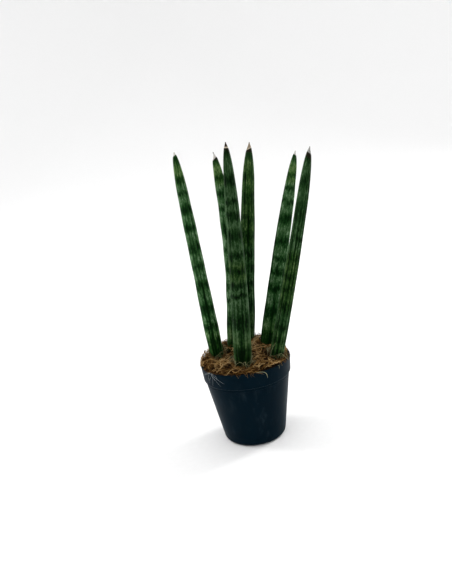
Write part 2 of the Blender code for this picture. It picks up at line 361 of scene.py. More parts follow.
# The dry point, in millimetres: how long it is, how much lower it runs on the right, the pale ring below it
# and the dark stain below that, which also runs lower on one side. Then how far the point is pinched, its
# colour and how dark its very end is; what the leaf's greens are multiplied by, how strong its cross-bands
# and long streaks are, where it turns olive, and how far below the tip the pale bands are
leaf_marks = {
    "leaf_1": dict(
        dry=1.9, slant=-0.5, pinch=0.2, ring=0.0, stain=0.0, stain_slant=0.0,
        papery=(0.72, 0.71, 0.66, 1), end=0.1, shade=1.38, banding=0.9, streaks=0.35, olive=(6, 14),
        bands=(11, 20, 26, 38, 48, 62, 70, 84, 100, 107),
    ),
    "leaf_2": dict(
        dry=3.9, slant=-0.9, pinch=0.86, ring=0.0, stain=1.0, stain_slant=0.9,
        papery=(0.58, 0.56, 0.52, 1), end=0.8, shade=1.18, banding=0.85, streaks=0.4, olive=(8, 17),
        bands=(11, 20, 30, 38, 55, 63, 77, 86, 93, 113),
    ),
    "leaf_3": dict(
        dry=2.3, slant=0.1, pinch=0.45, ring=0.6, stain=1.2, stain_slant=0.3,
        papery=(0.045, 0.030, 0.022, 1), end=0.0, shade=0.57, banding=0.9, streaks=0.45, olive=(66, 72),
        bands=(11, 27, 34, 42, 56, 64, 73, 80, 86, 110),
    ),
    "leaf_4": dict(
        dry=3.6, slant=-0.8, pinch=0.5, ring=0.4, stain=2.2, stain_slant=0.8,
        papery=(0.30, 0.24, 0.17, 1), end=0.3, shade=0.90, banding=0.5, streaks=1.1, olive=(12, 60),
        bands=(16, 25, 42, 50, 63, 72, 80, 91, 109, 117),
    ),
    "leaf_5": dict(
        dry=2.4, slant=0.5, pinch=0.5, ring=0.0, stain=0.2, stain_slant=0.0,
        papery=(0.60, 0.60, 0.55, 1), end=0.1, shade=1.34, banding=0.85, streaks=0.35, olive=(9, 16),
        bands=(10, 18, 26, 33, 47, 60, 68, 77, 88, 106),
    ),
    "leaf_6": dict(
        dry=3.3, slant=0.7, pinch=0.45, ring=0.0, stain=2.8, stain_slant=0.4,
        papery=(0.40, 0.40, 0.38, 1), end=0.1, shade=0.80, banding=0.5, streaks=1.1, olive=(60, 90),
        bands=(12, 25, 46, 54, 68, 76, 83, 97, 108, 114),
    ),
}

# Single long marks, each a low ridge or crease in the skin with painted light on it: the turn round the leaf
# in degrees, where each starts and stops below the tip in millimetres, how strong it is (above 0 a ridge with
# a painted highlight, below 0 a crease or a broad band with painted shade), and how broad
ridge_lines_and_painted_light = {
    "leaf_1": [(275, 78, 175, -1.3, 0.13), (240, 110, 175, 0.5, 0.13), (270, 12, 175, -0.35, 0.5)],
    "leaf_2": [(275, 40, 80, 0.6, 0.20)],
    "leaf_3": [
        (100, 24, 175, 1.2, 0.20), (258, 70, 175, 0.9, 0.22), (180, 104, 175, -1.3, 0.12),
        (166, 118, 168, -0.9, 0.15), (205, 92, 150, 0.7, 0.12), (150, 88, 112, 0.7, 0.12),
        (175, 95, 175, -0.25, 0.5),
    ],
    "leaf_4": [(20, 40, 150, -1.0, 0.16), (345, 60, 150, -0.8, 0.12)],
    "leaf_5": [(62, 88, 150, -1.0, 0.15), (150, 120, 160, 0.8, 0.20), (58, 30, 175, -0.35, 0.5)],
    "leaf_6": [(104, 70, 165, -1.0, 0.13), (140, 95, 165, 0.6, 0.13), (190, 100, 165, 1.0, 0.22)],
}

# Where the coir mound that the leaves stand in rises and dips: each place, height and width in millimetres
mound_lumps = [((9, 14), 1.6, 5.5), ((-12, 8), 0.5, 5.0), ((2, -19), -0.8, 6.0)]


def lumps(x, y, hills):
    """Round hills added up: each is its height times e to the power of minus half the squared distance over
    the squared width."""
    total = 0
    for place, height, width in hills:
        distance = np.hypot(x - place[0] * mm, y - place[1] * mm)
        total = total + height * mm * np.exp(-0.5 * (distance / (width * mm)) ** 2)
    return total


def coir_height(x, y):
    """The mound: the rim's height plus a flat-topped dome (a root of one minus a high power of the radius),
    three lumps and a low sine wave each way, which all fade out at the rim."""
    fall = np.minimum(1, np.hypot(x, y) / mat_reach) ** 6
    dome = (mat_rise + 0.05 * y - 0.02 * x) * (1 - fall) ** 0.6
    waves = 0.2 * mm * np.sin(x / (1.9 * mm)) * np.sin(y / (1.6 * mm))
    return pot_height + 0.4 * mm + dome + (lumps(x, y, mound_lumps) + waves) * (1 - fall)


def unit(vectors):
    """Each vector over its own length."""
    return vectors / (np.linalg.norm(vectors, axis=-1, keepdims=True) + 1e-12)


class Leaf:
    """A leaf's line and girth, as functions of t, which is 0 at the foot and 1 at the tip."""

    def __init__(self, foot, tip, bow, girth, taper, blunt, neck):
        x, y = foot[0] * mm, foot[1] * mm
        self.foot = np.array([x, y, coir_height(x, y)])
        self.chord = np.array(tip) * mm - self.foot
        self.bow = np.array([bow * mm, 0, 0])
        self.length = np.linalg.norm(self.chord)
        self.girth, self.taper, self.blunt, self.neck = girth * mm, taper, blunt, neck
        self.start = self.chord + 4 * self.bow

    def centre(self, t):
        """The foot, plus t times the chord, plus 4 t (1 - t) times the bow, and straight on below it."""
        above, below = np.maximum(t, 0)[:, None], np.minimum(t, 0)[:, None]
        return self.foot + above * self.chord + 4 * above * (1 - above) * self.bow + below * self.start

    def radius(self, t):
        """Half the girth, less the taper, times the neck, times a root of one minus a high power of t."""
        above = np.clip(t, 0, 1)
        neck = 1 - self.neck * np.exp(-above / neck_length)
        end = (1 - above**self.blunt) ** end_rounding
        return np.maximum(tip_radius, self.girth / 2 * (1 - self.taper * above) * end * neck)


def store(mesh, name, values):
    """Keeps a number or a vector for each point of a mesh, which its finish reads."""
    kind, field = ("FLOAT", "value") if values.ndim == 1 else ("FLOAT_VECTOR", "vector")
    mesh.attributes.new(name, kind, "POINT").data.foreach_set(field, values.ravel())


def leaf_skin(name, leaf, marks, ridges_and_painted_light, rng):
    """Rings round the leaf's line, of radius(t) (1 + slow waves) + relief - channel. The relief is a cosine
    power at twelve uneven angles, and the channel a cosine power on the side that faces the pot's middle. A
    ridge adds e to the power of minus its squared angle, and two S-curves fade it in and out along the leaf.
    Each furrow, ridge and crease is also kept for the skin's tone, as painted shade or a painted highlight.
    The dry point narrows and crumples by a power of how far up it a ring is."""
    below_foot = np.linspace(-buried / leaf.length, 0, buried_rows)[:-1]
    t = np.concatenate([below_foot, 1 - np.linspace(1, 0, leaf_rows) ** row_crowding])
    angle = np.linspace(0, math.tau, leaf_columns, endpoint=False)
    centre = leaf.centre(t)
    along = unit(np.gradient(centre, axis=0))
    inward = np.array([-leaf.foot[0], -leaf.foot[1], 0]) * np.ones((len(t), 1))
    inward = unit(inward - along * (inward * along).sum(axis=1, keepdims=True))
    across = np.cross(along, inward)
    radius = leaf.radius(t)
    part = np.minimum(1, 2 * radius / leaf.girth)[:, None]
    below_tip = (1 - np.minimum(t, 1)) * leaf.length
    spokes = inward[:, None] * np.cos(angle)[:, None] + across[:, None] * np.sin(angle)[:, None]
    rightward = spokes[..., 0]

    drift = 0.05 * np.sin(3 * t[:, None] + rng.uniform(0, 6)) + 0.05 * np.sin(2 * angle + rng.uniform(0, 6))
    uneven = angle + drift + 0.04 * np.sin(5 * angle + rng.uniform(0, 6))
    furrow = ((1 - np.cos(rib_count * uneven)) / 2) ** 4
    rib = np.floor(uneven / math.tau * rib_count).astype(int) % rib_count
    swell = 1 + 0.5 * np.sin(t[:, None] * rng.uniform(4, 14, rib_count) + rng.uniform(0, 6, rib_count))
    depth = np.take_along_axis(rng.uniform(0.2, 2.0, rib_count) * swell, rib, axis=1)
    relief = rib_depth * part * (1 - 2 * furrow * depth)
    upward_fade = (1 - np.clip(t, 0, 1))[:, None] ** 1.5
    channel = channel_depth * part * upward_fade * np.maximum(0, np.cos(angle)) ** 4
    slow = 0.03 * np.cos(2 * angle + rng.uniform(0, 6)) + 0.015 * np.cos(3 * angle + rng.uniform(0, 6))
    for n in (1, 2, 3):
        wave = np.sin(t * rng.uniform(8, 40) + rng.uniform(0, 6))[:, None]
        slow = slow + 0.012 * wave * (1 + 0.6 * np.cos(n * angle + rng.uniform(0, 6)))
    out = radius[:, None] * (1 + slow) + relief - channel
    # Painted shade in each furrow, by its depth, for the skin's tone
    painted_shade_and_highlights = furrow * np.minimum(depth, 1.4) * part
    # Each long mark raises a ridge or sinks a crease, and adds a painted highlight or painted shade to the
    # tone
    for turn, upper, lower, strength, breadth in ridges_and_painted_light:
        near = np.exp(-(((angle - math.radians(turn)) / breadth) ** 2))
        begun = 1 / (1 + np.exp((upper * mm - below_tip) / ridge_fade))
        ended = 1 / (1 + np.exp((below_tip - lower * mm) / ridge_fade))
        raised = strength * (near * begun[:, None]) * ended[:, None]
        out = out + ridge_height * raised
        painted_shade_and_highlights = painted_shade_and_highlights - 1.1 * raised

    dry = (marks["dry"] + marks["slant"] * rightward) * mm
    dried = np.clip(1 - below_tip[:, None] / dry, 0, 1)
    shoulder = 0.08 * np.exp(-(((below_tip[:, None] - dry) / (0.5 * mm)) ** 2))
    crumple = crumple_height * dried * np.sin(3 * angle + rng.uniform(0, 6))
    crumple = crumple * np.sin(below_tip / crumple_step)[:, None]
    out = np.maximum(out * (1 - marks["pinch"] * dried**0.8 - shoulder) + crumple, thinnest_point)
    centre = centre + 0.25 * mm * dried.mean(axis=1, keepdims=True) ** 2 * across * rng.uniform(-1, 1)
    mesh = closed_skin(name, centre[:, None] + out[..., None] * spokes)

    straightened = np.empty(spokes.shape)
    straightened[..., 0] = np.cos(angle) * leaf.girth / 2
    straightened[..., 1] = np.sin(angle) * leaf.girth / 2
    straightened[..., 2] = below_tip[:, None]
    straightened = np.concatenate([straightened.reshape(-1, 3), [(0, 0, below_tip[0]), (0, 0, 0)]]) / mm
    store(mesh, "straightened", straightened)
    # The furrow attribute holds painted shade in the furrows and creases, and painted highlights along the
    # raised ridge marks
    store(mesh, "furrow", np.append(painted_shade_and_highlights, [0, 0]))
    store(mesh, "rightward", np.append(rightward, [0, 0]))
    return mesh


def band_stops(bands, reach):
    """Grey stops from the tip down: white over each pale band, for a quarter of the way to the dark on each
    side, and black halfway between it and the next."""
    halfway = [0.45 * bands[0]] + [(a + b) / 2 for a, b in zip(bands, bands[1:])] + [bands[-1] + 6]
    stops = [(0.0, 0.45)]
    for band, upper, lower in zip(bands, halfway, halfway[1:]):
        stops += [(upper / reach, 0.0), ((band - 0.25 * (band - upper)) / reach, 1.0)]
        stops += [((band + 0.25 * (lower - band)) / reach, 1.0)]
    return stops + [(halfway[-1] / reach, 0.1)]


band_jag = 8.0  # how far noise moves a band's edges up and down, in millimetres
band_teeth = 5.0
leaf_greens = [
    (0.02, (0.0004, 0.0066, 0.0005, 1)),
    (0.26, (0.0027, 0.0205, 0.0029, 1)),
    (0.50, (0.0125, 0.0420, 0.0106, 1)),
    (0.74, (0.0310, 0.0740, 0.0265, 1)),
    (0.98, (0.0870, 0.1480, 0.0780, 1)),
]
olive_tint = (1.16, 1.04, 0.60, 1)
leaf_sheen = (0.46, 0.80, 0.42, 1)
stain_dark = (0.0035, 0.0030, 0.0020, 1)
stain_pale = (0.020, 0.018, 0.010, 1)
ring_cream = (0.50, 0.44, 0.34, 1)
end_dark = (0.020, 0.015, 0.012, 1)


def leaf_finish(name, leaf, marks, shift):
    """Dark and pale green by one tone: the bands, moved up and down by noise, plus mottling, long streaks and
    flecks, less painted shade in each furrow and crease, plus a painted highlight along each raised ridge.
    The dry point, its pale ring and the dark stain are laid over it by height."""
    finish = Finish(name + "_skin")
    place = finish.attribute("straightened").outputs["Vector"]
    furrow = finish.attribute("furrow").outputs["Fac"]
    rightward = finish.attribute("rightward").outputs["Fac"]
    below_tip = finish.add("SeparateXYZ", Vector=place).outputs["Z"]
    moved = finish.moved(place, (shift, 1.7 * shift, 2.3 * shift))
    reach = leaf.length / mm

    jag = finish.noise(finish.stretched(moved, (1, 1, 0.35)), 0.45, detail=3, roughness=0.6)
    teeth = finish.noise(finish.stretched(moved, (1, 1, 0.12)), 1.6, detail=3, roughness=0.6)
    banded = finish.math("ADD", below_tip, finish.spread(jag, band_jag))
    banded = finish.math("ADD", banded, finish.spread(teeth, band_teeth))
    banded = finish.math("DIVIDE", banded, reach, clamp=True)
    band = finish.ramp(banded, band_stops(marks["bands"], reach), smooth="EASE")

    mottle = finish.noise(finish.stretched(moved, (1, 1, 0.6)), 0.55, detail=4, roughness=0.65)
    streak = finish.noise(finish.stretched(moved, (1, 1, 0.03)), 1.5, detail=4, roughness=0.6)
    fleck = finish.noise(finish.stretched(moved, (1, 1, 0.4)), 1.9, detail=4, roughness=0.7)
    tone = finish.math("ADD", finish.spread(band, 0.62 * marks["banding"]), 0.5)
    tone = finish.math("ADD", tone, finish.spread(mottle, 1.5))
    tone = finish.math("ADD", tone, finish.spread(streak, 1.1 * marks["streaks"]))
    tone = finish.math("ADD", tone, finish.spread(fleck, 1.5))
    # Painted shade darkens the tone in the furrows and creases, and painted highlights lighten it along the
    # raised ridge marks
    tone = finish.math("SUBTRACT", tone, finish.math("MULTIPLY", furrow, 0.42), clamp=True)
    green = finish.ramp(tone, leaf_greens)
    shade = (marks["shade"] ** 1.15, marks["shade"], marks["shade"] ** 1.2, 1)  # pale leaves are greyer
    green = finish.mix(1.0, green, shade, blend="MULTIPLY")
    start, end = (value / reach for value in marks["olive"])
    height = finish.math("DIVIDE", below_tip, reach, clamp=True)
    faded = 5 / reach
    warm_stops = [(max(0.0, start - faded), 0.0), (start, 1.0), (end, 1.0), (end + faded, 0.0)]
    warm = finish.ramp(height, warm_stops + [(0.82, 0.0), (0.94, 0.8)])
    warm = finish.math("MULTIPLY", warm, 0.7)
    green = finish.mix(warm, green, finish.mix(1.0, green, olive_tint, blend="MULTIPLY"))

    def reaches(length, slant, soft, waver):
        """White from the tip down to a length that differs from side to side, and black below it."""
        edge = finish.math("SUBTRACT", below_tip, finish.math("MULTIPLY", rightward, slant))
        edge = finish.math("ADD", edge, finish.spread(fleck, waver))
        edge = finish.math("DIVIDE", finish.math("SUBTRACT", length + soft / 2, edge), soft)
        return finish.math("MAXIMUM", finish.math("MINIMUM", edge, 1.0), 0.0)

    dry, ring, stain, slant = marks["dry"], marks["ring"], marks["stain"], marks["slant"]
    dark_stain = finish.mix(fleck, stain_dark, stain_pale)
    stained = reaches(dry + ring + stain, slant + marks["stain_slant"], 0.8, 3.0)
    colour = finish.mix(stained, green, dark_stain) if stain else green
    if ring:
        colour = finish.mix(reaches(dry + ring, slant, 0.3, 0.8), colour, ring_cream)
    papery = marks["papery"]
    shaded = tuple(0.45 * value for value in papery[:3]) + (1,)
    papery_skin = finish.mix(finish.ramp(fleck, [(0.36, 0.0), (0.58, 1.0)]), shaded, papery)
    darkened = finish.math("MULTIPLY", reaches(1.0, 0.0, 0.9, 0.5), marks["end"])
    papery_skin = finish.mix(darkened, papery_skin, end_dark)
    dry_mask = reaches(dry, slant, 0.35, 1.0)
    colour = finish.mix(dry_mask, colour, papery_skin)

    rough = finish.mix(dry_mask, finish.ramp(tone, [(0.2, 0.45), (0.9, 0.6)]), (0.85, 0.85, 0.85, 1))
    fine = finish.noise(finish.stretched(moved, (1, 1, 0.08)), 6.0, detail=3)
    normal = finish.bump(fine, 0.35, 0.06 * mm)
    normal = finish.bump(finish.noise(moved, 9.0, detail=2), 0.15, 0.03 * mm, under=normal)
    finish.set(specular_ior_level=0.016, sheen_weight=0.12, sheen_roughness=0.35, sheen_tint=leaf_sheen)
    return finish.done(colour, rough, normal)


leaves = {name: Leaf(*sizes) for name, sizes in leaf_sizes.items()}
for number, (name, leaf) in enumerate(leaves.items(), start=1):
    marks = leaf_marks[name]
    skin = leaf_skin("skin_of_" + name, leaf, marks, ridge_lines_and_painted_light[name], np.random.default_rng(40 + number))
    piece = add_piece("skin_of_" + name, skin, leaf_finish(name, leaf, marks, 17.0 * number))
    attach(piece, "root")
    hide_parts(name)


# The coir mat: husk fibre teased loose and pressed round the leaves, mounded a little above the rim. A core,
# coloured a very dark brown as painted shade for the deep gaps, fills it. Curled fibres lie over the core,
# bend round the leaves, and a few hang over the pot's lip.

bed_drop = 3.2 * mm
bed_columns = 180
bowl_depth = 1.8 * mm
bowl_width = 1.7 * mm
inner_rim = rim_radius - pot_wall - 0.35 * mm
bed_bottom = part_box("coir_mat")[0].z
bed_edge = pot_height - 2.4 * mm
lip_clearance = 0.22 * mm
rim_softness = 1.8 * mm
overhang = 0.8 * mm  # over the lip on the left, and as far short of it on the right
ripple_height = 0.35 * mm
fibre_sides = 3

# Heaps beside leaves 2 and 4 and at the mat's left edge, and hollows in front of leaves 1, 3 and 6
heaps = [((-9.5, 13.5), 2.0, 3.2), ((9.3, 19.0), 1.6, 3.2), ((-24.0, 1.5), 2.4, 3.2)]
hollows = [((-14.5, -6.0), 2.6, 4.2), ((-0.5, -21.5), 1.3, 3.2), ((18.5, -14.0), 2.0, 3.2)]


def room_from_leaves(x, y):
    """How far each place on the mound is from the nearest leaf's skin, less than 0 inside a leaf."""
    room = np.full(x.shape, 1.0)
    for leaf in leaves.values():
        room = np.minimum(room, np.hypot(x - leaf.foot[0], y - leaf.foot[1]) - leaf.girth / 2)
    return room


def sunk_at_leaves(x, y):
    """The mound's height plus the heaps, less the hollows and a bowl round each leaf: its depth times e to
    the power of minus the squared room."""
    bowl = bowl_depth * np.exp(-((np.maximum(0, room_from_leaves(x, y)) / bowl_width) ** 2))
    return coir_height(x, y) + lumps(x, y, heaps) - lumps(x, y, hollows) - bowl


def bed_surface(columns, rows):
    """Rings from the rim to the middle of the mound, lowered, and roughened by waves within waves."""
    radii = inner_rim * (1 - np.linspace(0.01, 0.985, rows) ** 1.4)
    angle = np.linspace(0, math.tau, columns, endpoint=False)
    x = radii[:, None] * np.cos(angle)
    y = radii[:, None] * np.sin(angle)
    rough = 0.45 * mm * np.sin(x / (1.3 * mm) + 2 * np.sin(y / (1.7 * mm)))
    rough += 0.35 * mm * np.sin(y / (0.9 * mm) + 2 * np.sin(x / (1.1 * mm)))
    return np.stack([x, y, np.maximum(sunk_at_leaves(x, y) - bed_drop + rough, bed_edge)], axis=-1)


bed_sides = np.array([(inner_rim, bed_bottom), (inner_rim, bed_edge - 0.2 * mm)])
bed_sides = carried_round(bed_sides, bed_columns)
bed_mesh = closed_skin("coir_bed", np.concatenate([bed_sides, bed_surface(bed_columns, 60)]))

coir_core = Finish("coir_core_in_painted_shade")
coir_core.set(roughness=0.95, specular_ior_level=0.03)
weave = coir_core.noise(coir_core.object_space, 1400, detail=5, roughness=0.7, distortion=1.5)
# Painted shade: the core is coloured far darker than the husk, as the deep gaps between the fibres are in
# shade
core_painted_shade = coir_core.ramp(weave, [(0.35, (0.003, 0.0012, 0.0004, 1)), (0.7, (0.026, 0.011, 0.003, 1))])
core_normal = coir_core.bump(weave, 1.0, 0.5 * mm)
coir_bed = add_piece("coir_bed", bed_mesh, coir_core.done(core_painted_shade, normal=core_normal))
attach(coir_bed, "root")
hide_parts("coir_mat")


def curled_over_mound(rng, x, y, heading, length, bend, curl, lift, sink, points=28):
    """Fibres on the mound: the heading is its start plus an even bend plus a slow random turn, and the place
    adds up steps along the heading and goes round a small circle one to four times. The height is the
    mound's, less the sink, plus the lift times the sine of pi t and a ripple. Past the rim a fibre is held in
    by e to the power of minus how far past it would be, each at a reach of its own."""
    count = len(x)
    t = np.linspace(0, 1, points)
    turning = np.cumsum(rng.normal(0, 0.15, (count, points)), axis=1)
    way = heading[:, None] + bend[:, None] * t + turning
    step = (length / (points - 1))[:, None]
    round_and_round = t * rng.uniform(8, 24, (count, 1)) + rng.uniform(0, 6, (count, 1))
    x = x[:, None] + np.cumsum(step * np.cos(way), axis=1) + curl[:, None] * np.cos(round_and_round)
    y = y[:, None] + np.cumsum(step * np.sin(way), axis=1) + curl[:, None] * np.sin(round_and_round)
    radius = np.hypot(x, y)
    own_reach = rng.uniform(0.0, 1.4, (count, 1)) * mm
    limit = rim_radius - overhang * x / radius - rim_softness - own_reach
    past = np.maximum(0, radius - limit)
    held = np.where(past > 0, limit + rim_softness * (1 - np.exp(-past / rim_softness)), radius)
    x, y = x * held / radius, y * held / radius
    ripple = np.sin(t * rng.uniform(6, 20, (count, 1)) + rng.uniform(0, 6, (count, 1)))
    z = sunk_at_leaves(x, y) - sink[:, None] + lift[:, None] * np.sin(math.pi * t) + ripple_height * ripple
    over_wall = np.hypot(x, y) > rim_radius - pot_wall - 0.3 * mm
    lowest = np.where(over_wall, pot_height + lip_clearance, bed_edge)
    return np.stack([x, y, np.maximum(z, lowest)], axis=-1)


def bent_clear(paths, room):
    """Moves the points that fall inside a leaf straight out to its skin, away from the leaf's line."""
    for leaf in leaves.values():
        t = np.clip((paths[..., 2] - leaf.foot[2]) / leaf.start[2], -0.1, 0.5)
        away = paths - leaf.foot - t[..., None] * leaf.start
        away[..., 2] = 0
        distance = np.linalg.norm(away, axis=-1, keepdims=True) + 1e-9
        skin = leaf.radius(t.ravel()).reshape(t.shape)[..., None] + room
        paths = paths + away / distance * np.maximum(0, skin - distance)
    return paths


def fibres(name, paths, radii):
    """Thin round fibres: rings of points across each path, thinner at both ends, with a face at each end."""
    count, length = paths.shape[:2]
    along = unit(np.gradient(paths, axis=1))
    across = unit(np.cross(along, (0.02, 0.01, 1.0)))
    over = np.cross(along, across)
    angle = np.linspace(0, math.tau, fibre_sides, endpoint=False) + math.pi / 2
    thin = 1 - 0.6 * np.abs(np.linspace(-1, 1, length)) ** 3
    reach = (radii[:, None] * thin)[:, :, None, None]
    spokes = across[:, :, None] * np.cos(angle)[:, None] + over[:, :, None] * np.sin(angle)[:, None]
    points = (paths[:, :, None] + reach * spokes).reshape(-1, 3)
    corners = np.arange(count * length * fibre_sides).reshape(count, length, fibre_sides)
    return mesh_from(name, points, [strips(corners), corners[:, 0, ::-1], corners[:, -1]])


def coir_fibre_finish(name, stops):
    """Husk brown by each fibre's tone, darkened by painted shade at depth and near the leaves, plus a little
    noise.
    """
    finish = Finish(name)
    tone = finish.attribute("tone").outputs["Fac"]
    tone = finish.math("ADD", tone, finish.spread(finish.noise(finish.object_space, 700, detail=3), 0.5))
    finish.set(roughness=0.85, specular_ior_level=0.03)
    return finish.done(finish.ramp(tone, stops))


husk_brown = coir_fibre_finish(
    "husk_fibre",
    [
        (0.0, (0.008, 0.0028, 0.0008, 1)),
        (0.3, (0.046, 0.020, 0.0046, 1)),
        (0.55, (0.118, 0.060, 0.0160, 1)),
        (0.8, (0.290, 0.164, 0.054, 1)),
        (1.0, (0.560, 0.375, 0.170, 1)),
    ],
)
straw = coir_fibre_finish("straw_fibre", [(0.0, (0.07, 0.065, 0.020, 1)), (1.0, (0.36, 0.35, 0.20, 1))])
hair_grey = coir_fibre_finish("pale_grey_hair", [(0.0, (0.16, 0.18, 0.18, 1)), (1.0, (0.40, 0.44, 0.44, 1))])


def add_fibres(name, paths, radii, tones, finish=husk_brown):
    """Husk is darkened where it meets a leaf, as painted shade, by e to the power of minus the squared room.
    Straw and hair aren't."""
    paths = bent_clear(paths, room=0.12 * mm)
    mesh = fibres(name, paths, radii)
    # Painted shade on the husk round each leaf's foot
    painted_shade_by_leaves = np.exp(-((np.maximum(0, room_from_leaves(paths[..., 0], paths[..., 1])) / (1.6 * mm)) ** 2))
    tones = tones[:, None] * (1 - (0.45 if finish == husk_brown else 0.0) * painted_shade_by_leaves)
    store(mesh, "tone", np.repeat(tones.ravel(), fibre_sides))
    piece = add_piece(name, mesh, finish)
    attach(piece, "root")
    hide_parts("coir_mat")


def scattered(rng, count):
    """Places spread evenly over the mound: the radius is a root of an even draw."""
    turn = rng.uniform(0, math.tau, count)
    far = (rim_radius - 1.0 * mm) * np.sqrt(rng.random(count))
    return far * np.cos(turn), far * np.sin(turn), rng.uniform(0, math.tau, count)


# Four layers cover the core: two low ones, coloured dark and middling as painted shade for their depth, a
# pale tangle, and fine wisps on top; within each layer the fibres' tones differ at random. Each row gives a
# layer's count, its lengths in millimetres, its bend in radians, its curls, lifts, sinks and radii in
# millimetres, and its tones
tangle_layers = {
    "coir_under": (280, (8, 16), 2.5, (0.2, 0.7), (0.0, 0.4), (2.0, 3.0), (0.16, 0.26), (0.00, 0.12)),
    "coir_weave": (120, (9, 20), 4.0, (0.6, 1.3), (0.2, 0.8), (1.0, 1.8), (0.14, 0.22), (0.15, 0.48)),
    "coir_tangle": (88, (9, 20), 4.5, (0.7, 1.6), (0.3, 1.2), (0.2, 1.0), (0.13, 0.20), (0.72, 1.08)),
    "coir_wisps": (110, (8, 18), 5.0, (0.5, 1.4), (0.3, 1.8), (0.0, 0.8), (0.06, 0.10), (0.60, 1.00)),
}
for number, (name, layer) in enumerate(tangle_layers.items()):
    count, lengths, bend, curls, lifts, sinks, radii, tones = layer
    rng = np.random.default_rng(70 + number)
    x, y, heading = scattered(rng, count)
    length, curl, lift, sink = (rng.uniform(*span, count) * mm for span in (lengths, curls, lifts, sinks))
    paths = curled_over_mound(rng, x, y, heading, length, rng.normal(0, bend, count), curl, lift, sink)
    add_fibres(name, paths, rng.uniform(*radii, count) * mm, rng.uniform(*tones, count))


def along_the_rim(rng, count, middle, spread):
    """Fibres that start near the rim, at angles spread about the middle one, and run with it."""
    turn = rng.normal(math.radians(middle), math.radians(spread), count)
    far = rng.uniform(23.5, 27.2, count) * mm
    heading = turn + math.pi / 2 * rng.choice((-1, 1), count) + rng.normal(0, 0.3, count)
    return far * np.cos(turn), far * np.sin(turn), heading


# Husk lies combed along the rim, in a loose band at the front left and a fuller one round the back and right.
# Each row gives a band's seed, count, middle and spread in degrees, and its tones
rim_spans = ((7, 15), (0.1, 0.5), (0.1, 1.2), (0.0, 1.4))  # lengths, curls, lifts and sinks in millimetres
rim_bands = {
    "coir_front_band": (80, 34, -113, 22, (0.22, 0.76)),
    "coir_along_rim": (84, 125, 65, 72, (0.30, 0.85)),
}
for name, (seed, count, middle, spread, tones) in rim_bands.items():
    rng = np.random.default_rng(seed)
    x, y, heading = along_the_rim(rng, count, middle, spread)
    length, curl, lift, sink = (rng.uniform(*span, count) * mm for span in rim_spans)
    paths = curled_over_mound(rng, x, y, heading, length, rng.normal(0, 0.9, count), curl, lift, sink)
    add_fibres(name, paths, rng.uniform(0.12, 0.24, count) * mm, rng.uniform(*tones, count))


def over_the_lip(rng, count, points=12):
    """Fibres that leave the mound, bend down round the lip on a quarter circle, from at_lip to past_lip, and
    hang by the collar."""
    t = np.linspace(0, 1, points)
    at_lip, past_lip = 0.45, 0.7
    turn = rng.uniform(0, math.tau, (count, 1)) + rng.normal(0, 0.12, (count, 1)) * t
    turn = turn + 0.02 * np.sin(t * rng.uniform(4, 9, (count, 1)))
    bend = np.clip((t - at_lip) / 0.25, 0, 1) * math.pi / 2
    round_radius = 0.55 * mm
    inner = rng.uniform(3, 6, (count, 1)) * mm * np.clip(1 - t / at_lip, 0, 1)
    hang = rng.uniform(0.2, 1.8, (count, 1)) * mm * np.clip((t - past_lip) / 0.3, 0, 1)
    radius = rim_radius - 0.25 * mm - inner + round_radius * np.sin(bend)
    raised = 0.35 * mm * np.clip(1 - t / 0.4, 0, 1)
    z = pot_height - 0.25 * mm + round_radius * np.cos(bend) - hang + raised
    return np.stack([radius * np.cos(turn), radius * np.sin(turn), z], axis=-1)


rng = np.random.default_rng(81)
count = 60
paths = over_the_lip(rng, count)
add_fibres("coir_over_lip", paths, rng.uniform(0.05, 0.12, count) * mm, rng.uniform(0.3, 0.9, count))


def hairs_down_collar(turns, drifts, drops, bows, hook, points=18):
    """Loose hairs that cling to the collar: the turn goes from its start by a drift, bowed by a sine of pi t,
    and the height falls from the lip by a drop times t to the power of the hook, while the turn slows by the
    same power. They stand just clear of the collar's slope."""
    t = np.linspace(0, 1, points)
    turn = np.radians(np.array(turns)[:, None] + np.array(drifts)[:, None] * (1 - (1 - t) ** hook))
    turn = turn + np.radians(np.array(bows)[:, None]) * np.sin(math.pi * t)
    z = pot_height + 0.3 * mm - np.array(drops)[:, None] * mm * t**hook
    slope = collar_flare * np.clip((pot_height - z) / collar_height, 0, 1)
    radius = rim_radius + lip_clearance - slope
    return np.stack([radius * np.cos(turn), radius * np.sin(turn), z], axis=-1)


# A fan of pale grey hairs spreads from one root on the left of the collar. At the front a thick stray fibre
# hooks over the lip, and a short one hangs to its right
fan_turns = (-139, -140, -138, -141, -139, -137, -140, -139, -138, -142)
fan_drifts = (-12, -18, -10, -6, -2, 3, 13, 8, 17, -15)
fan_drops = (1.0, 5.4, 6.2, 7.2, 8.4, 4.6, 7.4, 3.6, 5.6, 3.0)
fan_bows = (3, -4, 3, -2, 2, -3, -3, 3, -5, 4)
fan = hairs_down_collar(fan_turns, fan_drifts, fan_drops, fan_bows, 1.2)
fan_radii = np.linspace(0.035, 0.065, len(fan)) * mm
add_fibres("hairs_on_collar", fan, fan_radii, np.linspace(0.4, 1.0, len(fan)), hair_grey)
strays = hairs_down_collar((-80, -49), (14, 2), (4.9, 2.6), (0, 0), 2.2)
add_fibres("stray_fibres", strays, np.array([0.14, 0.08]) * mm, np.array([1.0, 0.7]), straw)


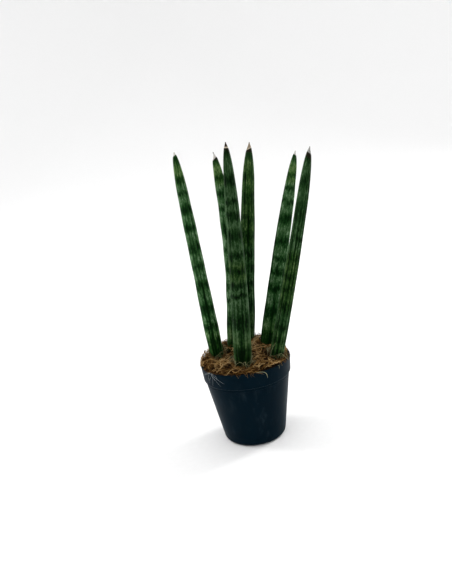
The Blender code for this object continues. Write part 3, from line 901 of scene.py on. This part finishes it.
def round_the_feet(rng, names, each, climbs, reaches, wander, points=14):
    """Wiry pale fibres that start low at a leaf's skin, climb it a little as they go round it, and arch out
    over the mound."""
    t = np.linspace(0, 1, points)
    feet = []
    for leaf in (leaves[name] for name in names):
        turn = rng.uniform(0, math.tau, (each, 1)) + rng.normal(0, wander, (each, 1)) * t
        reach = leaf.girth / 2 + 0.2 * mm + rng.uniform(*reaches, (each, 1)) * mm * t**1.4
        climb = rng.uniform(*climbs, (each, 1)) * mm * np.sin(math.pi * (0.15 + 0.85 * t))
        x = leaf.foot[0] + reach * np.cos(turn)
        y = leaf.foot[1] + reach * np.sin(turn)
        ripple = np.sin(t * rng.uniform(5, 14, (each, 1)) + rng.uniform(0, 6, (each, 1)))
        z = sunk_at_leaves(x, y) - 0.5 * mm + climb + ripple_height * ripple
        feet.append(np.stack([x, y, z], axis=-1))
    return np.concatenate(feet)


rng = np.random.default_rng(82)
paths = round_the_feet(rng, ("leaf_1", "leaf_3", "leaf_6"), 26, (1.5, 5.2), (0.4, 3.6), 1.0)
count = len(paths)
radii = rng.uniform(0.06, 0.11, count) * mm
add_fibres("straw_round_feet", paths, radii, rng.uniform(0, 1, count), straw)
rng = np.random.default_rng(83)
paths = round_the_feet(rng, leaves, 22, (0.8, 3.0), (0.1, 1.8), 1.3)
count = len(paths)
add_fibres("husk_round_feet", paths, rng.uniform(0.08, 0.14, count) * mm, rng.uniform(0.5, 1.0, count))


def fuzz(rng, count, points=8):
    """Fine hairs that stand up and out of the mound's edge: straight, with a bend that grows as t squared."""
    t = np.linspace(0, 1, points)
    furthest = rim_radius + 0.6 * mm
    turn = rng.uniform(0, math.tau, (count, 1))
    start = rng.uniform(22, 27.0, (count, 1)) * mm
    out = rng.uniform(-0.5, 0.9, (count, 1)) * mm * t
    aside = rng.normal(0, 1.6, (count, 1)) * mm * t + rng.normal(0, 0.9, (count, 1)) * mm * t**2
    radius = np.minimum(start + out, furthest)
    x = radius * np.cos(turn) - aside * np.sin(turn)
    y = radius * np.sin(turn) + aside * np.cos(turn)
    shrink = np.minimum(1, furthest / np.hypot(x, y))
    z = sunk_at_leaves(x, y) + rng.uniform(0.6, 2.4, (count, 1)) * mm * t - 0.3 * mm
    return np.stack([x * shrink, y * shrink, z], axis=-1)


rng = np.random.default_rng(85)
count = 70
paths = fuzz(rng, count)
add_fibres("coir_fuzz", paths, rng.uniform(0.045, 0.08, count) * mm, rng.uniform(0.25, 0.7, count))


def long_hairs(feet, tops, bows, points=20):
    """Single hairs that stand up out of the mound: from foot to top on a line, plus a bow times sin(pi t)."""
    t = np.linspace(0, 1, points)[:, None]
    feet, tops, bows = (np.array(values)[:, None] * mm for values in (feet, tops, bows))
    return feet + t * (tops - feet) + np.sin(math.pi * t) * bows


# Each long hair's foot, top and bow in millimetres. The last is the tallest and the finest
hair_places = np.array(
    [
        [(4.3, -9.0, 53.5), (9.0, -7.6, 66.0), (-1.6, -0.6, 0.0)],
        [(-10.0, 15.5, 54.0), (-9.0, 17.5, 61.6), (-3.0, 0.0, 0.5)],
        [(15.0, -14.5, 52.5), (18.8, -14.6, 62.0), (-1.2, -0.8, 0.0)],
        [(9.0, 19.0, 54.5), (9.8, 19.6, 61.0), (-0.6, 0.0, 0.0)],
        [(-11.6, -3.5, 52.5), (-12.6, -4.6, 63.0), (1.4, -0.6, 0.0)],
        [(16.2, 15.0, 54.0), (14.7, 14.0, 90.0), (1.6, 0.0, 0.0)],
    ]
)
hairs = long_hairs(*hair_places.transpose(1, 0, 2))
hair_radii = np.array([0.08, 0.08, 0.08, 0.08, 0.08, 0.05]) * mm
add_fibres("long_hairs", hairs, hair_radii, np.array([0.9, 0.3, 0.7, 0.5, 0.5, 0.0]), straw)


# The stage: a plain pale floor that sweeps up all round into the backdrop, under a wide overhead softbox,
# with a softer key from the upper left and a narrow strip behind the plant on each side.

sweep_radius = 2.6
sweep_curve = 2.1
sweep_height = 2.5
sweep_flat = sweep_radius - sweep_curve
plant_middle = Vector((0.01, 0.0, 0.09))

sweep_profile = np.concatenate(
    [
        np.array([(sweep_radius, sweep_height)]),
        arc((sweep_flat, sweep_curve), sweep_curve, 0, -90, 40),
        straight((sweep_flat, 0.0), (0.0, 0.0), 8),
    ]
)
sweep_grid = carried_round(sweep_profile, 128)
corners = np.arange(sweep_grid[..., 0].size).reshape(sweep_grid.shape[:2])
sweep_mesh = mesh_from("sweep", sweep_grid.reshape(-1, 3), [strips(corners), corners[-1][None]])

pale_card = Finish("pale_card")
pale_card.set(roughness=0.9, specular_ior_level=0.05)
card_grain = pale_card.noise(pale_card.object_space, 300, detail=2)
card_colour = pale_card.ramp(card_grain, [(0.3, 0.80), (0.7, 0.82)])
sweep = add_piece("sweep", sweep_mesh, pale_card.done(card_colour))


def add_softbox(name, place, size, power):
    """A rectangular area light that faces the middle of the plant."""
    light = bpy.data.lights.new(name, "AREA")
    light.shape = "RECTANGLE"
    light.size, light.size_y = size
    light.energy = power
    lamp = bpy.data.objects.new(name, light)
    bpy.context.scene.collection.objects.link(lamp)
    lamp.location = place
    lamp.rotation_euler = (plant_middle - lamp.location).to_track_quat("-Z", "Y").to_euler()


add_softbox("overhead", (0.0, 0.05, 2.35), (4.2, 4.2), 38.0)
add_softbox("key", (-0.75, -0.75, 0.85), (0.6, 0.6), 0.6)
add_softbox("left_strip", (-0.90, 0.30, 0.32), (0.30, 1.0), 8.0)
add_softbox("right_strip", (0.85, 0.45, 0.36), (0.30, 1.0), 10.0)

studio = bpy.data.worlds.new("room")
studio.use_nodes = True
studio_light = studio.node_tree.nodes["Background"].inputs
studio_light["Color"].default_value = (1.0, 1.0, 1.0, 1)
studio_light["Strength"].default_value = 0.66
bpy.context.scene.world = studio
bpy.context.scene.view_settings.view_transform = "Standard"


# The camera: as high as the leaves' tips, looking down on the rim, and rolled, because the pot leans a little
# in the photo. It's placed so that the middle of the rim lands where it does in the photo.

image_size = (452, 584)
lens_pixels = 550.0
rim_pixel = (245.0, 357.7)
rim_distance = 340.0 * mm
look_down = math.radians(20.5)
roll = math.radians(8.3)


def camera_matrix():
    """Camera axes from the sight line to the rim, the picture's upward direction at the roll, and the pot's
    axis between them: up = cos(elevation) up-in-picture - sin(elevation) sight."""
    centre = np.array(image_size) / 2
    sight = np.append((np.array(rim_pixel) - centre) / lens_pixels, 1.0)
    sight /= np.linalg.norm(sight)
    upward = np.array([-math.sin(roll), -math.cos(roll), 0.0])
    upward -= upward @ sight * sight
    upward /= np.linalg.norm(upward)
    pot_up = math.cos(look_down) * upward - math.sin(look_down) * sight
    pot_right = np.cross(sight, pot_up)
    pot_right /= np.linalg.norm(pot_right)
    to_pot = np.stack([pot_right, np.cross(pot_up, pot_right), pot_up])
    matrix = np.eye(4)
    matrix[:3, :3] = to_pot @ np.diag([1.0, -1.0, -1.0])
    matrix[:3, 3] = to_pot @ (-rim_distance * sight) + (0, 0, pot_height)
    return Matrix(matrix.tolist())


lens = bpy.data.cameras.new("camera")
lens.sensor_width = 36.0
lens.sensor_fit = "AUTO"
lens.lens = lens_pixels * lens.sensor_width / max(image_size)
lens.clip_start = 0.01
lens.clip_end = 20.0
camera = bpy.data.objects.new("camera", lens)
bpy.context.scene.collection.objects.link(camera)
camera.matrix_world = camera_matrix()
bpy.context.scene.camera = camera
